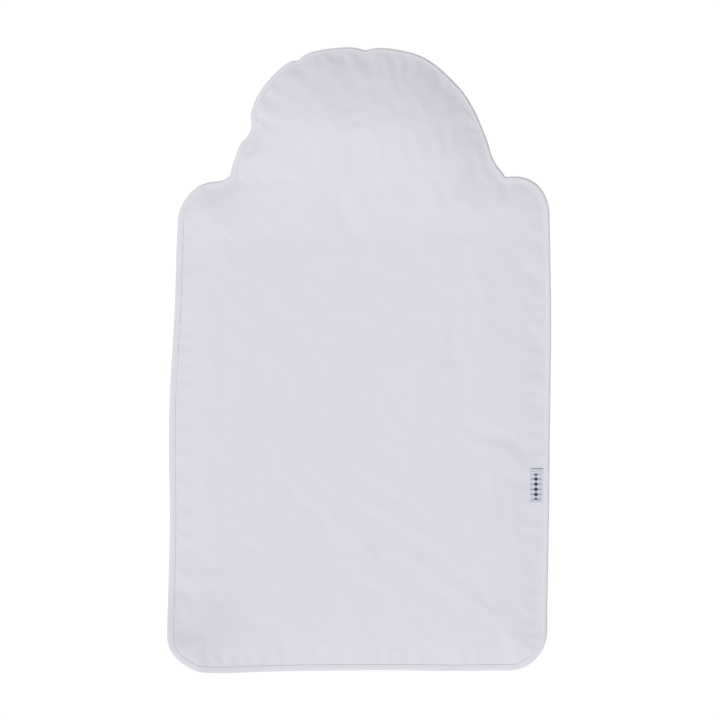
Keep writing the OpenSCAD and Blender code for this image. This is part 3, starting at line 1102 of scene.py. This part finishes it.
def label_material():
    """Woven tape with a row of small filled diamonds in navy, a dot at each side of each, and painted shade
    between its threads.
    """
    m = Material("label_tape", (0.60, 0.615, 0.69), 0.55, sheen=0.1)
    half = 3.3 * MM                                 # half the way from one diamond to the next
    dots_at, dot = 5.2 * MM, 1.1 * MM
    row_half = 16.6 * MM                            # half the length of the row
    centre = [0.5 * (label_low.x + label_high.x), 0.5 * (label_low.y + label_high.y)]
    middle = laid(np.array([centre]))[0]
    parts = m.node("ShaderNodeSeparateXYZ")
    m.link(m.place, parts.inputs["Vector"])
    x = m.maths("SUBTRACT", parts.outputs["X"], float(middle[0]) + 0.5 * MM)
    y = m.maths("SUBTRACT", parts.outputs["Y"], float(middle[1]) - 1.0 * MM)
    zigzag = m.maths("PINGPONG", m.maths("ADD", y, 30 * half), half)
    reach = m.maths("MULTIPLY_ADD", zigzag, 1.25, -0.6 * MM)
    diamonds = m.maths("LESS_THAN", m.maths("ABSOLUTE", x), reach)
    dot_x = m.maths("ABSOLUTE", m.maths("SUBTRACT", m.maths("ABSOLUTE", x), dots_at))
    dot_y = m.maths("ABSOLUTE", m.maths("SUBTRACT", half, zigzag))
    dots = m.maths("LESS_THAN", m.maths("ADD", dot_x, dot_y), dot)
    in_row = m.maths("LESS_THAN", m.maths("ABSOLUTE", y), row_half)
    figure = m.maths("MULTIPLY", m.maths("MAXIMUM", diamonds, dots), in_row)
    warp, weft = m.threads(0.42 * MM, "X", m.place, 0.2), m.threads(0.3 * MM, "Y", m.place, 0.2)
    weave = m.maths("MULTIPLY", warp, weft)
    # Each colour is darker between the threads and lighter on them: painted shade and painted light.
    ground, pattern = (m.mixed(weave, dark, light) for dark, light in zip(LABEL_SHADED, LABEL_LIT))
    m.colour(m.mixed(figure, ground, pattern))
    m.roughness(m.spread(weave, 0.5, 0.68))
    m.bump([(weave, 0.05 * MM), (figure, 0.08 * MM)])
    return m.material


materials = {
    "cover_cloth": cloth_material("cover_cloth", COVER, 0.62 * MM),
    "back_cloth": cloth_material("back_cloth", shade(COVER, 0.98), 0.8 * MM, math.radians(32), 0.07 * MM),
    "binding_tape": cloth_material("binding_tape", TAPE, 0.5 * MM, math.radians(45), 0.05 * MM),
    "thread": thread_material("thread", THREAD),
    "waterproof_film": film_material(),
    "wadding": wadding_material(),
    "label_tape": label_material(),
    "label_thread": thread_material("label_thread", LABEL_THREAD),
}


# ---------------------------------------------------------------- pieces, bodies and slots

slots = {entry["node"]: entry["material_slot"] for entry in frame["record"]["subparts"]}
bodies = frame["record"]["behaviour"]["bodies"]

for node, piece in pieces.items():
    finish = "label_thread" if node == "side_label_thread" else slots[node]
    piece.data.materials.append(materials[finish])
    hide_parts(node)
    if node in bodies["mat"]:
        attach(piece, "mat")
    else:
        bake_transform(piece)


# ---------------------------------------------------------------- floor, light and camera

FLOOR_HALF = 30
LIGHT_FROM = (-0.26, -0.33, 1)
LIGHT_POWER = 2.57
LIGHT_SIZE = math.radians(28)       # how wide the light looks from the pad
SKY_POWER = 0.3
VIEW_W = 0.9288                     # width of the picture at the table
LENS = 85                           # focal length in mm


def floor():
    corners = [(x * FLOOR_HALF, y * FLOOR_HALF, 0) for x, y in ((-1, -1), (1, -1), (1, 1), (-1, 1))]
    obj = make_mesh("floor", corners, [(0, 1, 2, 3)])
    m = Material("floor", FLOOR, 0.8)
    m.colour(m.mixed(m.noise(0.4), (0.96, 0.96, 0.96), (0.97, 0.97, 0.97)))
    obj.data.materials.append(m.material)


def key_light():
    """Soft light from high up and a little to the lower left, even all over the pad."""
    light = bpy.data.lights.new("key", "SUN")
    light.angle = LIGHT_SIZE
    light.energy = LIGHT_POWER
    obj = bpy.data.objects.new("key", light)
    obj.rotation_euler = Vector(LIGHT_FROM).to_track_quat("Z", "Y").to_euler()
    bpy.context.scene.collection.objects.link(obj)


def sky():
    """Even light from all round."""
    world = bpy.data.worlds.new("world")
    world.use_nodes = True
    background = world.node_tree.nodes["Background"]
    background.inputs["Color"].default_value = (1, 1, 1, 1)
    background.inputs["Strength"].default_value = SKY_POWER
    bpy.context.scene.world = world


def camera():
    """A camera that looks straight down, at the height from which the picture is VIEW_W wide."""
    data = bpy.data.cameras.new("camera")
    data.lens = LENS
    obj = bpy.data.objects.new("camera", data)
    obj.location = (0, 0, VIEW_W * data.lens / data.sensor_width)
    bpy.context.scene.collection.objects.link(obj)
    bpy.context.scene.camera = obj


floor()
key_light()
sky()
camera()
bpy.context.scene.view_settings.view_transform = "Standard"
